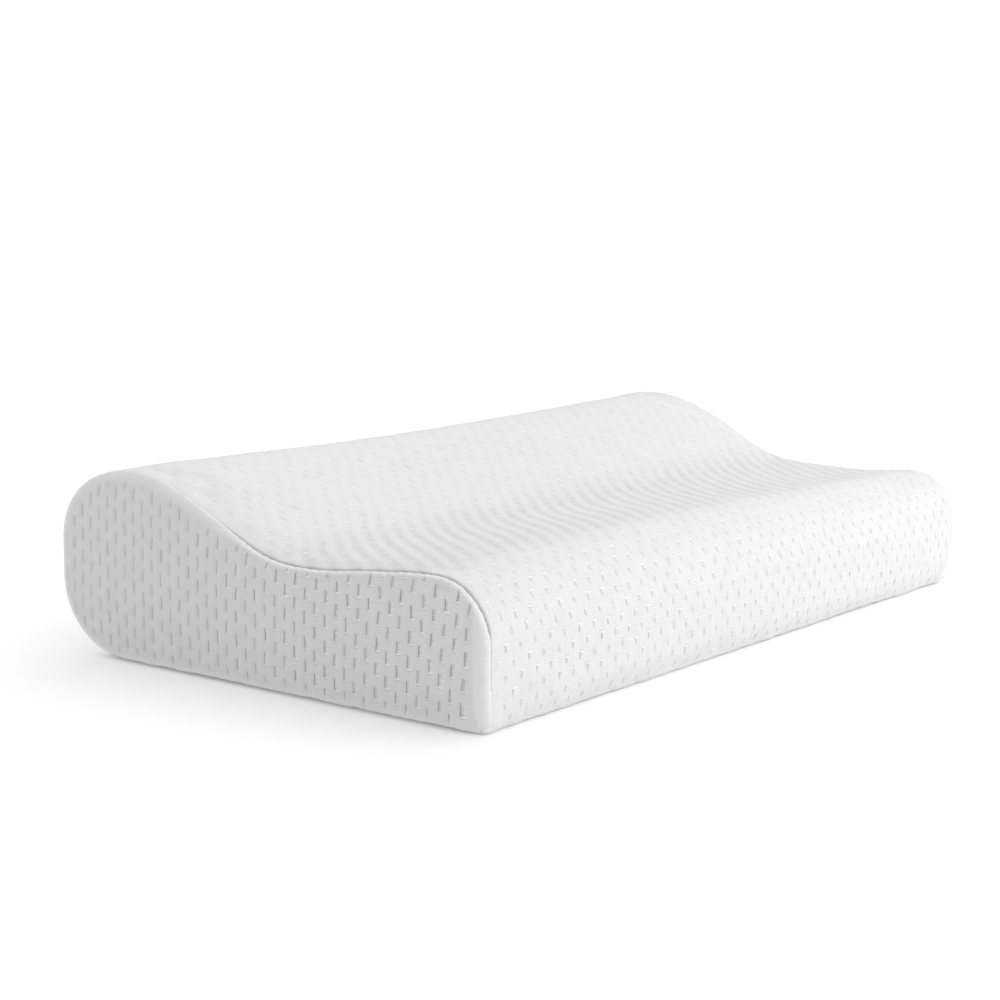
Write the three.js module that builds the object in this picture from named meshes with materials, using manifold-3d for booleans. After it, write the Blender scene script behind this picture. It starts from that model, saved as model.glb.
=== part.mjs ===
// Contour pillow: a wave-shaped foam core in a sewn liner, inside a zipped jacquard-knit cover.
// Millimetres, +Z up. X runs along the length, -Y is the low front lobe and +Y the high back lobe,
// which carries the zip. The origin is on the flat underside, at the middle of the section's depth.

import * as THREE from 'three';
import { mergeVertices } from 'three/addons/utils/BufferGeometryUtils.js';
import Module from 'manifold-3d';

const wasm = await Module();
wasm.setup();

// Section of the filled cover, in the Y-Z plane
const DEPTH = 296;
const BACK_HEIGHT = 105;
const TROUGH_HEIGHT = 68;
const FRONT_HEIGHT = 75;
const BACK_CREST_Y = 92;
const TROUGH_Y = -25;
const FRONT_CREST_Y = -115;
const BACK_FLAT_TOP = 63;
const BACK_FLAT_BOTTOM = 43;
const UNDERSIDE_BACK_Y = 99;
const FRONT_FLAT_TOP = 45;
const FRONT_TOE_DEPTH = 6;
const FRONT_TOE_HEIGHT = 25;
const ARC_FULLNESS = 0.5523;
const BACK_FULLNESS = 0.6;
const CURVE_STEPS = 8;

// Layers, measured inwards from the outside of the cover
const COVER_THICKNESS = 1.8;
const LINER_INSET = 2.6;
const LINER_THICKNESS = 0.8;
const FOAM_INSET = 4;
const INNER_BACK_CLEARANCE = 3;

// Lengths, measured from the middle to each end
const COVER_SEAM_X = 247.1;
const LINER_SEAM_X = 242.25;
const COVER_THREAD_RADIUS = 0.35;
const LINER_THREAD_RADIUS = 0.25;
const SEAM_THREAD_INSET = 3.4;

// Zip: z counts from its middle, y from the outside of the cover's back
const ZIP_Z = 53;
const ZIP_SLOT_HALF_LENGTH = 214;
const ZIP_SLOT_HALF_WIDTH = 6;
const TAPE_HALF_LENGTH = 220;
const TAPE_EDGE_Z = 11;
const TAPE_Y = [-2.9, -2.2];
const CHAIN_HALF_LENGTH = 209;
const CHAIN_HALF_GAP = 0.55;
const CHAIN_EDGE_Z = 3.15;
const CHAIN_Y = [-1.9, 0.3];
const STOP_LENGTH = 2.8;
const STOP_GAP = 0.3;
const SLIDER_LENGTH = 15;
const SLIDER_NOSE_WIDTH = 10.4;
const SLIDER_TAIL_WIDTH = 9.2;
const SLIDER_TOP_Y = [0.6, 1.9];
const SLIDER_BOTTOM_Y = [-4.8, -3.4];
const SLIDER_FLANGE_Z = 3.6;
const SLIDER_FLANGE_Y = -1.7;
const SLIDER_WEB_THICKNESS = 0.5;
const SLIDER_WEB_LENGTH = 5;
const BRIDGE_WIDTH = 2.2;
const BRIDGE_HALF_LENGTH = 5.5;
const BRIDGE_TOP_Y = 6.1;
const EYE_HALF_LENGTH = 3.6;
const EYE_HALF_HEIGHT = 1.2;
const HINGE_Y = 3.5;
const TAB_LENGTH = 24;
const TAB_WIDTH = 8;
const TAB_TIP_WIDTH = 6;
const TAB_THICKNESS = 1.3;
const TAB_PIN_RADIUS = 0.9;
const TAB_WINDOW_LENGTH = 6.8;
const TAB_WINDOW_HALF_WIDTH = 1.7;
const TOPSTITCH_Z = 9;
const BARTACK_X = 216.5;
const THREAD_Y = [0.3, 0.7];

const LABEL_WIDTH = 18;
const LABEL_LENGTH = 34;
const LABEL_THICKNESS = 0.35;
const LABEL_CLEARANCE = 0.35;

function cloth(color, roughness = 0.9) {
  return new THREE.MeshStandardMaterial({ color, roughness, metalness: 0 });
}

const knit = cloth(0xf0f0f1);
const liner = cloth(0xe9e8e4);
const foam = cloth(0xf3ead0, 0.95);
const thread = cloth(0xe6e6e7, 0.8);
const tape = cloth(0xededee);
const label = cloth(0xf4f4f2, 0.6);
const nylon = new THREE.MeshStandardMaterial({ color: 0xe8e8e9, roughness: 0.35, metalness: 0 });
const enamel = new THREE.MeshStandardMaterial({ color: 0xe4e4e6, roughness: 0.3, metalness: 0.4 });

const pillow = new THREE.Group();

function addMesh(name, geometry, material, parent = pillow) {
  const mesh = new THREE.Mesh(geometry, material);
  mesh.name = name;
  parent.add(mesh);
  return mesh;
}

// A quarter turn between two straight runs whose lines meet at corner
function turn(path, corner, end, fullness = ARC_FULLNESS) {
  const from = path.currentPoint.clone();
  const first = from.clone().lerp(corner, fullness);
  const second = end.clone().lerp(corner, fullness);
  path.bezierCurveTo(first.x, first.y, second.x, second.y, end.x, end.y);
}

// An S-curve that is level at both ends
function wave(path, end) {
  const from = path.currentPoint.clone();
  const third = (end.x - from.x) / 3;
  path.bezierCurveTo(from.x + third, from.y, end.x - third, end.y, end.x, end.y);
}

// The wave section as points (y, z), set in from the cover's outside by inset, and by backSet more
// at the back
function sectionPoints(inset, backSet = 0) {
  const front = -DEPTH / 2 + inset;
  const back = DEPTH / 2 - inset - backSet;
  const top = BACK_HEIGHT - inset;
  const brow = FRONT_HEIGHT - inset;
  const toeY = front + Math.max(FRONT_TOE_DEPTH - inset, 1);
  const toeZ = inset + Math.max(FRONT_TOE_HEIGHT - inset, 1);
  const point = (y, z) => new THREE.Vector2(y, z);
  const path = new THREE.Path();
  path.moveTo(toeY, inset);
  path.lineTo(UNDERSIDE_BACK_Y, inset);
  turn(path, point(back, inset), point(back, BACK_FLAT_BOTTOM));
  path.lineTo(back, BACK_FLAT_TOP);
  turn(path, point(back, top), point(BACK_CREST_Y, top), BACK_FULLNESS);
  wave(path, point(TROUGH_Y, TROUGH_HEIGHT - inset));
  wave(path, point(FRONT_CREST_Y, brow));
  turn(path, point(front, brow), point(front, FRONT_FLAT_TOP));
  path.lineTo(front, toeZ);
  turn(path, point(front, inset), point(toeY, inset));
  return path.getPoints(CURVE_STEPS).slice(0, -1);
}

// Joins section rings, one for each [x, inset] of the profile, into the skin of a body
function ringSkin(profile, backSet, closed) {
  const rings = profile.map(([x, inset]) => sectionPoints(inset, backSet).map((p) => [x, p.x, p.y]));
  const size = rings[0].length;
  const index = [];
  const steps = closed ? rings.length : rings.length - 1;
  for (let i = 0; i < steps; i += 1) {
    const here = i * size;
    const next = ((i + 1) % rings.length) * size;
    for (let j = 0; j < size; j += 1) {
      const k = (j + 1) % size;
      index.push(here + j, here + k, next + k, here + j, next + k, next + j);
    }
  }
  return { rings, size, index };
}

function toGeometry(points, index) {
  const geometry = new THREE.BufferGeometry();
  geometry.setAttribute('position', new THREE.Float32BufferAttribute(points.flat(2), 3));
  geometry.setIndex(index);
  geometry.computeVertexNormals();
  return geometry;
}

// A hoop that runs all the way round the section, with the closed profile as its wall
function hoop(profile, backSet = 0) {
  const { rings, index } = ringSkin(profile, backSet, true);
  return toGeometry(rings, index);
}

// A body closed by a flat face on its first and its last ring
function capped(profile, backSet = 0) {
  const { rings, size, index } = ringSkin(profile, backSet, false);
  const addCap = (ring, flip) => {
    const contour = rings[ring].map(([, y, z]) => new THREE.Vector2(y, z));
    for (const face of THREE.ShapeUtils.triangulateShape(contour, [])) {
      const corners = flip ? [...face].reverse() : face;
      index.push(...corners.map((corner) => corner + ring * size));
    }
  };
  addCap(0, true);
  addCap(rings.length - 1, false);
  return toGeometry(rings, index);
}

// The other end's copy of a profile drawn for the +X end
function mirrored(profile) {
  return profile.map(([x, inset]) => [-x, inset]).reverse();
}

function bothEnds(profile) {
  return [...mirrored(profile), ...profile];
}

// A round thread's wall, as a profile centred on [x, inset]
function threadProfile(x, inset, radius) {
  const sides = 4;
  return Array.from({ length: sides }, (_, i) => {
    const angle = (2 * Math.PI * i) / sides;
    return [x + radius * Math.cos(angle), inset + radius * Math.sin(angle)];
  });
}

function box([x0, x1], [y0, y1], [z0, z1]) {
  const geometry = new THREE.BoxGeometry(x1 - x0, y1 - y0, z1 - z0);
  return geometry.translate((x0 + x1) / 2, (y0 + y1) / 2, (z0 + z1) / 2);
}

// A plate with an outline in the X-Z plane, from y0 to y1
function plate(shape, [y0, y1]) {
  const geometry = new THREE.ExtrudeGeometry(shape, {
    depth: y1 - y0,
    bevelEnabled: false,
    curveSegments: 6,
  });
  return geometry.rotateX(Math.PI / 2).translate(0, y1, 0);
}

function toSolid(geometry) {
  const bare = geometry.clone();
  bare.deleteAttribute('normal');
  bare.deleteAttribute('uv');
  const welded = mergeVertices(bare, 1e-4);
  return new wasm.Manifold(
    new wasm.Mesh({
      numProp: 3,
      vertProperties: new Float32Array(welded.attributes.position.array),
      triVerts: new Uint32Array(welded.index.array),
    }),
  );
}

function fromSolid(solid) {
  const mesh = solid.getMesh();
  const geometry = new THREE.BufferGeometry();
  geometry.setAttribute('position', new THREE.BufferAttribute(mesh.vertProperties, 3));
  geometry.setIndex(new THREE.BufferAttribute(mesh.triVerts, 1));
  geometry.computeVertexNormals();
  return geometry;
}

function joined(...geometries) {
  return fromSolid(geometries.map(toSolid).reduce((whole, piece) => whole.add(piece)));
}

// One panel round the whole section, rolled in towards the end seams, with the slot for the zip
function makeCoverWrap() {
  const outside = [[243, 0], [245.1, 0.5], [246.2, 1.7], [246.4, 3.4]];
  const inside = [[244.7, 3.4], [244.4, 2.6], [244, 2.05], [243, COVER_THICKNESS]];
  const wall = [...mirrored(outside), ...outside, ...inside, ...mirrored(inside)];
  const slot = box(
    [-ZIP_SLOT_HALF_LENGTH, ZIP_SLOT_HALF_LENGTH],
    [DEPTH / 2 - 10, DEPTH / 2 + 10],
    [ZIP_Z - ZIP_SLOT_HALF_WIDTH, ZIP_Z + ZIP_SLOT_HALF_WIDTH],
  );
  addMesh('cover_wrap_panel', fromSolid(toSolid(hoop(wall)).subtract(toSolid(slot))), knit);
}

// A crowned end panel: its rim turns back to the seam in a soft roll
function makeCoverEnds() {
  const inside = [[250.2, 17], [249.9, 11.2], [249.2, 8], [248.3, 5.9], [247.8, 5.2]];
  const outside = [[247.8, 3.4], [249.4, 4.2], [250.9, 6.6], [251.7, 10.5], [252, 17]];
  const profile = [...inside, ...outside];
  addMesh('cover_right_end_panel', capped(profile), knit);
  addMesh('cover_left_end_panel', capped(mirrored(profile)), knit);
}

function makeLiner() {
  const seam = LINER_SEAM_X - LINER_THREAD_RADIUS - 0.4;
  const inner = LINER_INSET + LINER_THICKNESS;
  const wall = [[-seam, LINER_INSET], [seam, LINER_INSET], [seam, inner], [-seam, inner]];
  addMesh('liner_wrap', hoop(wall, INNER_BACK_CLEARANCE), liner);
  const inside = [[248.8, 17], [248.5, 12.4], [247.6, 9], [245.9, 6.5], [243.6, 5], [242.9, 3.8]];
  const outside = [[242.9, 2.6], [244.2, 4.2], [246.5, 5.6], [248.3, 8.2], [249.3, 12], [249.6, 17]];
  const profile = [...inside, ...outside];
  addMesh('liner_right_end', capped(profile, INNER_BACK_CLEARANCE), liner);
  addMesh('liner_left_end', capped(mirrored(profile), INNER_BACK_CLEARANCE), liner);
  const closing = box([-seam, seam], [142.8, 143.2], [44.3, 44.7]);
  addMesh('liner_closing_seam_thread', closing, thread);
}

function makeFoamCore() {
  const end = [[241.5, FOAM_INSET], [243, 5.8], [245.2, 7.4], [246.8, 9.8], [247.9, 13], [248.2, 18]];
  addMesh('foam_core', capped(bothEnds(end), INNER_BACK_CLEARANCE), foam);
}

function makeSeamThreads() {
  const cover = threadProfile(COVER_SEAM_X, SEAM_THREAD_INSET, COVER_THREAD_RADIUS);
  addMesh('cover_right_seam_thread', hoop(cover), thread);
  addMesh('cover_left_seam_thread', hoop(mirrored(cover)), thread);
  const inner = threadProfile(LINER_SEAM_X, LINER_INSET + 0.4, LINER_THREAD_RADIUS);
  addMesh('liner_right_seam_thread', hoop(inner, INNER_BACK_CLEARANCE), thread);
  addMesh('liner_left_seam_thread', hoop(mirrored(inner), INNER_BACK_CLEARANCE), thread);
}

// The tapes lie behind the cover's folded edges, and the coils sit on the tapes' outer faces
function makeZipChain(zip) {
  const tapeX = [-TAPE_HALF_LENGTH, TAPE_HALF_LENGTH];
  const chainX = [-CHAIN_HALF_LENGTH, CHAIN_HALF_LENGTH];
  const stopStart = CHAIN_HALF_LENGTH + STOP_GAP;
  const topStopX = [-stopStart - STOP_LENGTH, -stopStart];
  for (const [side, sign] of [['upper', 1], ['lower', -1]]) {
    const across = (inner, outer) => [sign * inner, sign * outer].sort((a, b) => a - b);
    const tapeZ = across(CHAIN_HALF_GAP, TAPE_EDGE_Z);
    const chainZ = across(CHAIN_HALF_GAP, CHAIN_EDGE_Z);
    addMesh(`zip_tape_${side}`, box(tapeX, TAPE_Y, tapeZ), tape, zip);
    addMesh(`zip_coil_${side}`, box(chainX, CHAIN_Y, chainZ), nylon, zip);
    addMesh(`zip_top_stop_${side}`, box(topStopX, CHAIN_Y, chainZ), enamel, zip);
  }
  const bottomStop = box([stopStart, stopStart + STOP_LENGTH], CHAIN_Y, [-CHAIN_EDGE_Z, CHAIN_EDGE_Z]);
  addMesh('zip_bottom_stop', bottomStop, enamel, zip);
}

function makeZipSewing(zip) {
  for (const [side, sign] of [['upper', 1], ['lower', -1]]) {
    const line = [sign * TOPSTITCH_Z - 0.2, sign * TOPSTITCH_Z + 0.2];
    addMesh(`zip_topstitch_${side}`, box([-BARTACK_X, BARTACK_X], THREAD_Y, line), thread, zip);
  }
  for (const [side, sign] of [['right', 1], ['left', -1]]) {
    const bar = [sign * BARTACK_X - 1, sign * BARTACK_X + 1];
    addMesh(`zip_bartack_${side}`, box(bar, THREAD_Y, [-7.5, 7.5]), thread, zip);
    const run = [sign * 219, sign * 242.5].sort((a, b) => a - b);
    addMesh(`cover_closing_thread_${side}`, box(run, THREAD_Y, [-0.2, 0.2]), thread, zip);
  }
}

// The slider's plan, wide at the nose (-X), where the two rows meet, and narrower at the tail
function sliderPlan() {
  const nose = SLIDER_NOSE_WIDTH / 2;
  const tail = SLIDER_TAIL_WIDTH / 2;
  const end = SLIDER_LENGTH / 2;
  const round = 2;
  const plan = new THREE.Shape();
  plan.moveTo(end - round, -tail);
  plan.quadraticCurveTo(end, -tail, end, -tail + round);
  plan.lineTo(end, tail - round);
  plan.quadraticCurveTo(end, tail, end - round, tail);
  plan.lineTo(-end + round, nose);
  plan.quadraticCurveTo(-end, nose, -end, nose - round);
  plan.lineTo(-end, -nose + round);
  plan.quadraticCurveTo(-end, -nose, -end + round, -nose);
  plan.closePath();
  return plan;
}

// The raised lug that the pull hangs on, with its eye through it
function sliderBridge() {
  const foot = SLIDER_TOP_Y[1] - 0.5;
  const arch = new THREE.Shape();
  arch.moveTo(-BRIDGE_HALF_LENGTH, foot);
  arch.lineTo(BRIDGE_HALF_LENGTH, foot);
  arch.lineTo(BRIDGE_HALF_LENGTH, BRIDGE_TOP_Y - 2);
  arch.quadraticCurveTo(BRIDGE_HALF_LENGTH, BRIDGE_TOP_Y, BRIDGE_HALF_LENGTH - 2, BRIDGE_TOP_Y);
  arch.lineTo(-BRIDGE_HALF_LENGTH + 2, BRIDGE_TOP_Y);
  arch.quadraticCurveTo(-BRIDGE_HALF_LENGTH, BRIDGE_TOP_Y, -BRIDGE_HALF_LENGTH, BRIDGE_TOP_Y - 2);
  arch.closePath();
  const eye = new THREE.Path();
  eye.moveTo(-EYE_HALF_LENGTH, HINGE_Y - EYE_HALF_HEIGHT);
  eye.lineTo(-EYE_HALF_LENGTH, HINGE_Y + EYE_HALF_HEIGHT);
  eye.lineTo(EYE_HALF_LENGTH, HINGE_Y + EYE_HALF_HEIGHT);
  eye.lineTo(EYE_HALF_LENGTH, HINGE_Y - EYE_HALF_HEIGHT);
  eye.closePath();
  arch.holes.push(eye);
  const depth = BRIDGE_WIDTH;
  const geometry = new THREE.ExtrudeGeometry(arch, { depth, bevelEnabled: false, curveSegments: 4 });
  return geometry.translate(0, 0, -depth / 2);
}

// Two plates joined by a thin web that runs between the two rows of the coil
function makeSlider(parent) {
  const end = SLIDER_LENGTH / 2;
  const flangeX = [-end + 2, end - 2];
  const flangeY = [SLIDER_FLANGE_Y, SLIDER_TOP_Y[1] - 0.4];
  const flangeOuter = SLIDER_TAIL_WIDTH / 2;
  const webX = [-end + 0.8, -end + 0.8 + SLIDER_WEB_LENGTH];
  const webY = [SLIDER_BOTTOM_Y[1] - 0.4, SLIDER_TOP_Y[0] + 0.4];
  const web = SLIDER_WEB_THICKNESS / 2;
  const geometry = joined(
    plate(sliderPlan(), SLIDER_TOP_Y),
    plate(sliderPlan(), SLIDER_BOTTOM_Y),
    box(flangeX, flangeY, [SLIDER_FLANGE_Z, flangeOuter]),
    box(flangeX, flangeY, [-flangeOuter, -SLIDER_FLANGE_Z]),
    box(webX, webY, [-web, web]),
    sliderBridge(),
  );
  addMesh('zip_slider', geometry, enamel, parent);
}

// The pull lies along +X from its pin, and its window clears the slider's bridge as it swings
function makePullTab(parent) {
  const root = TAB_WIDTH / 2;
  const tip = TAB_TIP_WIDTH / 2;
  const plan = new THREE.Shape();
  plan.moveTo(0, -root);
  plan.lineTo(TAB_WINDOW_LENGTH + 2, -root);
  plan.quadraticCurveTo(TAB_WINDOW_LENGTH + 5, -tip, TAB_LENGTH - tip, -tip);
  plan.absarc(TAB_LENGTH - tip, 0, tip, -Math.PI / 2, Math.PI / 2, false);
  plan.quadraticCurveTo(TAB_WINDOW_LENGTH + 5, tip, TAB_WINDOW_LENGTH + 2, root);
  plan.lineTo(0, root);
  plan.closePath();
  const window = new THREE.Path();
  window.moveTo(TAB_PIN_RADIUS / 2, -TAB_WINDOW_HALF_WIDTH);
  window.lineTo(TAB_PIN_RADIUS / 2, TAB_WINDOW_HALF_WIDTH);
  window.lineTo(TAB_WINDOW_LENGTH, TAB_WINDOW_HALF_WIDTH);
  window.lineTo(TAB_WINDOW_LENGTH, -TAB_WINDOW_HALF_WIDTH);
  window.closePath();
  plan.holes.push(window);
  const half = TAB_THICKNESS / 2;
  const pin = new THREE.CylinderGeometry(TAB_PIN_RADIUS, TAB_PIN_RADIUS, TAB_WIDTH, 16);
  const geometry = joined(plate(plan, [-half, half]), pin.rotateX(Math.PI / 2));
  const tab = addMesh('zip_pull_tab', geometry, enamel, parent);
  tab.position.set(0, HINGE_Y, 0);
}

function makeZip() {
  const zip = new THREE.Group();
  zip.position.set(0, DEPTH / 2, ZIP_Z);
  pillow.add(zip);
  makeZipChain(zip);
  makeZipSewing(zip);
  const slider = new THREE.Group();
  slider.position.set(-CHAIN_HALF_LENGTH + SLIDER_LENGTH / 2, 0, 0);
  zip.add(slider);
  makeSlider(slider);
  makePullTab(slider);
}

// A blank ribbon caught in the right end seam, bent round the end panel's rim and flat on its face
function makeCareLabel() {
  const face = 252 + LABEL_CLEARANCE;
  const bend = [[247.75, 2.9], [249.7, 3.75], [251.3, 6.3]];
  const flat = [[face, 10.3], [face, LABEL_LENGTH]];
  const half = LABEL_THICKNESS * Math.SQRT1_2;
  const bendOutside = bend.map(([x, inset]) => [x + half, inset - half]);
  const flatOutside = flat.map(([x, inset]) => [x + LABEL_THICKNESS, inset]);
  const route = [...bend, ...flat, ...flatOutside.reverse(), ...bendOutside.reverse()];
  const section = new THREE.Shape(route.map(([x, inset]) => new THREE.Vector2(x, DEPTH / 2 - inset)));
  const geometry = new THREE.ExtrudeGeometry(section, { depth: LABEL_WIDTH, bevelEnabled: false });
  addMesh('care_label', geometry.translate(0, 0, ZIP_Z - LABEL_WIDTH / 2), label);
}

makeFoamCore();
makeLiner();
makeCoverWrap();
makeCoverEnds();
makeSeamThreads();
makeZip();
makeCareLabel();

export default pillow;
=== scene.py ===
"""Contour pillow in a zipped jacquard-knit cover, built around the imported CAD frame. Metres, +Z up."""
import math

import bmesh
import bpy
import numpy as np
from mathutils import Matrix, Vector


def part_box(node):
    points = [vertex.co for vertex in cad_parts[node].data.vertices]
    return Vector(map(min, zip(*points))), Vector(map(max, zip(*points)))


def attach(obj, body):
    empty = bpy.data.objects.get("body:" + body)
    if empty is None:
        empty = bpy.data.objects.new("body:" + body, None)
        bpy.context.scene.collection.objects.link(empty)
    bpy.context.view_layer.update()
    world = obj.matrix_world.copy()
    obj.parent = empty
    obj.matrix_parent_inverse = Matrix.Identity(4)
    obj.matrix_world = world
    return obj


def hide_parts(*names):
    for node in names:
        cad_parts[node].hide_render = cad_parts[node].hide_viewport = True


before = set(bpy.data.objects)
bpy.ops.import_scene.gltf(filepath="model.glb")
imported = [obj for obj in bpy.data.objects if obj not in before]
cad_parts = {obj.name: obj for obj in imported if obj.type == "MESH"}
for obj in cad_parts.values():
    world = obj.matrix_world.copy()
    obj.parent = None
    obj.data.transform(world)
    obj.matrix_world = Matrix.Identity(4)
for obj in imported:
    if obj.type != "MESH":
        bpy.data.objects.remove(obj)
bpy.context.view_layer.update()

MM = 0.001

# ---- sizes
WRAP_LOW, WRAP_HIGH = (np.array(corner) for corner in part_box("cover_wrap_panel"))
DEPTH = WRAP_HIGH[1] - WRAP_LOW[1]
BACK_Y = DEPTH / 2
BACK_HEIGHT = WRAP_HIGH[2] - WRAP_LOW[2]
TROUGH_HEIGHT = BACK_HEIGHT - 37 * MM
FRONT_HEIGHT = BACK_HEIGHT - 30 * MM
BACK_CREST_Y = 92 * MM
TROUGH_Y = -25 * MM
FRONT_CREST_Y = -115 * MM
BACK_FLAT = (43 * MM, 63 * MM)
UNDERSIDE_BACK_Y = 99 * MM
FRONT_FLAT_TOP = 45 * MM
TOE = (6 * MM, 25 * MM)
ARC_FULLNESS = 0.5523
BACK_FULLNESS = 0.6


def middle_x(node):
    low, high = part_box(node)
    return (low.x + high.x) / 2


END_FACE_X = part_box("cover_right_end_panel")[1].x
COVER_EDGE_X = middle_x("cover_right_seam_thread")
COVER_THICKNESS = 1.6 * MM
SEAM_TUCK = 1.6 * MM
UNDER_TUCK = 6.0 * MM
WRAP_ROLL = 0.8 * MM
SEAM_OVERLAP = 0.3 * MM
FOLD_RADIUS = 1.7 * MM
END_ROLL = 9 * MM
LINER_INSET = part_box("liner_wrap")[0].z
LINER_END_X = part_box("liner_right_end")[1].x
LINER_EDGE_X = middle_x("liner_right_seam_thread")
LINER_THICKNESS = 0.8 * MM

ZIP_Z = (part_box("zip_slider")[0].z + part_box("zip_slider")[1].z) / 2
ZIP_HALF_LENGTH = 214 * MM
ZIP_HALF_GAP = 6 * MM
ZIP_ROOM = 2.8 * MM
TOPSTITCH_OFFSET = 9 * MM
COIL_PITCH = 1.3 * MM
LABEL_SIZE = (18 * MM, 38 * MM)

# How the filled cover strays from a straight extrusion.
WRAP_GIVE_LIMIT = 1.2 * MM
END_GIVE_LIMIT = 2.0 * MM
RIDGE_SAG = 4.6 * MM
FAR_SLOPE_RISE = 6.1 * MM
FAR_LOBE_DROP = 5.1 * MM
PLUMPNESS = 2.4 * MM

# Slits stand in a brick pattern, long along the cloth's second coordinate, each with a ladder of floats
# beside it; side says on which side, and pitch and period are the pattern's repeat. ribs and rim say how
# strong the painted highlights are on the ribs and along the bare rim by the seams.
WRAP_KNIT = {
    "pitch": 6.08 * MM, "period": 14.5 * MM, "slit": 3.4 * MM, "side": 1, "groove": 0.26, "ladder": 0.14,
    "evenness": 0.15, "ribs": 0.08, "rim": 0.0,
}
END_KNIT = {
    "pitch": 6.75 * MM, "period": 12.4 * MM, "slit": 6.4 * MM, "side": -1, "groove": 0.42, "ladder": 0.2,
    "evenness": 0.45, "ribs": 0.38, "rim": 0.3,
}
SLACK_HOLLOW = 0.24 * MM


# ---- numbers
def smoothstep(low, high, value):
    t = np.clip((value - low) / (high - low), 0, 1)
    return t * t * (3 - 2 * t)


def fade(low, high, length):
    """Smoothly 0 where a length is at low and 1 at high, both of which are in millimetres."""
    return smoothstep(low * MM, high * MM, length)


def hump(offset, width):
    return np.exp(-((offset / width) ** 2))


def blend(t, low, high):
    return low * (1 - t) + high * t


def grid(first, second):
    return np.meshgrid(first, second, indexing="ij")


def points_at(*parts):
    """One array of points from their coordinates, each an array or a single number."""
    return np.stack(np.broadcast_arrays(*parts), -1)


def unit_noise(*cells):
    """A steady random number from 0 to 1 for each whole-numbered cell."""
    mixed = np.zeros(np.broadcast(*cells).shape)
    for cell, factor in zip(cells, (12.9898, 78.233, 37.719)):
        mixed = mixed + np.asarray(cell, float) * factor
    value = np.sin(mixed) * 43758.5453
    return value - np.floor(value)


def soft_noise(u, v, size, seed):
    """Smooth noise from -1 to 1 over a surface, with lumps of about this size in millimetres."""
    a, b = u / (size * MM), v / (size * MM)
    i, j = np.floor(a), np.floor(b)
    s, t = smoothstep(0, 1, a - i), smoothstep(0, 1, b - j)
    low = blend(s, unit_noise(i, j, seed), unit_noise(i + 1, j, seed))
    high = blend(s, unit_noise(i, j + 1, seed), unit_noise(i + 1, j + 1, seed))
    return 2 * blend(t, low, high) - 1


def lookup(table, first, second):
    """Reads a table over places 0 to 1 by 0 to 1, straight between its entries."""
    rows, columns = table.shape
    a = np.clip(first, 0, 1) * (rows - 1)
    b = np.clip(second, 0, 1) * (columns - 1)
    i, j = np.minimum(a.astype(int), rows - 2), np.minimum(b.astype(int), columns - 2)
    low = blend(b - j, table[i, j], table[i, j + 1])
    high = blend(b - j, table[i + 1, j], table[i + 1, j + 1])
    return blend(a - i, low, high)


# ---- the wave section
def straight(a, b):
    a, b = np.array(a, float), np.array(b, float)
    return a, a + (b - a) / 3, b - (b - a) / 3, b


def quarter(a, corner, b, fullness=ARC_FULLNESS):
    a, corner, b = (np.array(point, float) for point in (a, corner, b))
    return a, a + (corner - a) * fullness, b + (corner - b) * fullness, b


def wave(a, b):
    third = (b[0] - a[0]) / 3
    return a, (a[0] + third, a[1]), (b[0] - third, b[1]), b


TOP_CURVES = (1, 5)
BOTTOM_CURVES = (6, 9)


def section_curves(inset=0.0):
    """The outline as ten Bezier curves in (y, z), from the zip's middle up, over the top and back below."""
    front = -BACK_Y + inset
    back = BACK_Y - inset
    top = BACK_HEIGHT - inset
    brow = FRONT_HEIGHT - inset
    toe = (front + max(TOE[0] - inset, 1 * MM), inset + max(TOE[1] - inset, 1 * MM))
    crest = (BACK_CREST_Y, top)
    trough = (TROUGH_Y, TROUGH_HEIGHT - inset)
    front_crest = (FRONT_CREST_Y, brow)
    return np.array([
        straight((back, ZIP_Z), (back, BACK_FLAT[1])),
        quarter((back, BACK_FLAT[1]), (back, top), crest, BACK_FULLNESS),
        wave(crest, trough),
        wave(trough, front_crest),
        quarter(front_crest, (front, brow), (front, FRONT_FLAT_TOP)),
        straight((front, FRONT_FLAT_TOP), (front, toe[1])),
        quarter((front, toe[1]), (front, inset), (toe[0], inset)),
        straight((toe[0], inset), (UNDERSIDE_BACK_Y, inset)),
        quarter((UNDERSIDE_BACK_Y, inset), (back, inset), (back, BACK_FLAT[0])),
        straight((back, BACK_FLAT[0]), (back, ZIP_Z)),
    ])


def on_curves(curves, place):
    """Points on the curves; the whole part of a place is the curve, the rest how far along it."""
    index = np.clip(np.floor(place).astype(int), 0, len(curves) - 1)
    t = (place - index)[..., None]
    a, b, c, d = (curves[index][..., k, :] for k in range(4))
    return a * (1 - t) ** 3 + 3 * b * t * (1 - t) ** 2 + 3 * c * t * t * (1 - t) + d * t**3


OUTLINE = section_curves()
FINE_PLACES = np.linspace(0, len(OUTLINE), 4001)
FINE_POINTS = on_curves(OUTLINE, FINE_PLACES)
FINE_ALONG = np.concatenate([[0], np.cumsum(np.linalg.norm(np.diff(FINE_POINTS, axis=0), axis=1))])
GIRTH = FINE_ALONG[-1]


def outline_at(s):
    """The outline's y and z at s metres round the section from the zip's middle."""
    return np.moveaxis(on_curves(OUTLINE, np.interp(s, FINE_ALONG, FINE_PLACES)), -1, 0)


def normals_at(s):
    """The y and z of the direction out of the section."""
    step = 0.4 * MM
    along = outline_at(np.mod(s + step, GIRTH)) - outline_at(np.mod(s - step, GIRTH))
    along = along / np.linalg.norm(along, axis=0)
    return np.array([along[1], -along[0]])


def distance_round(*point):
    """How far round the section the outline passes nearest to a point (y, z)."""
    return FINE_ALONG[np.argmin(np.linalg.norm(FINE_POINTS - np.array(point), axis=1))]


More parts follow.
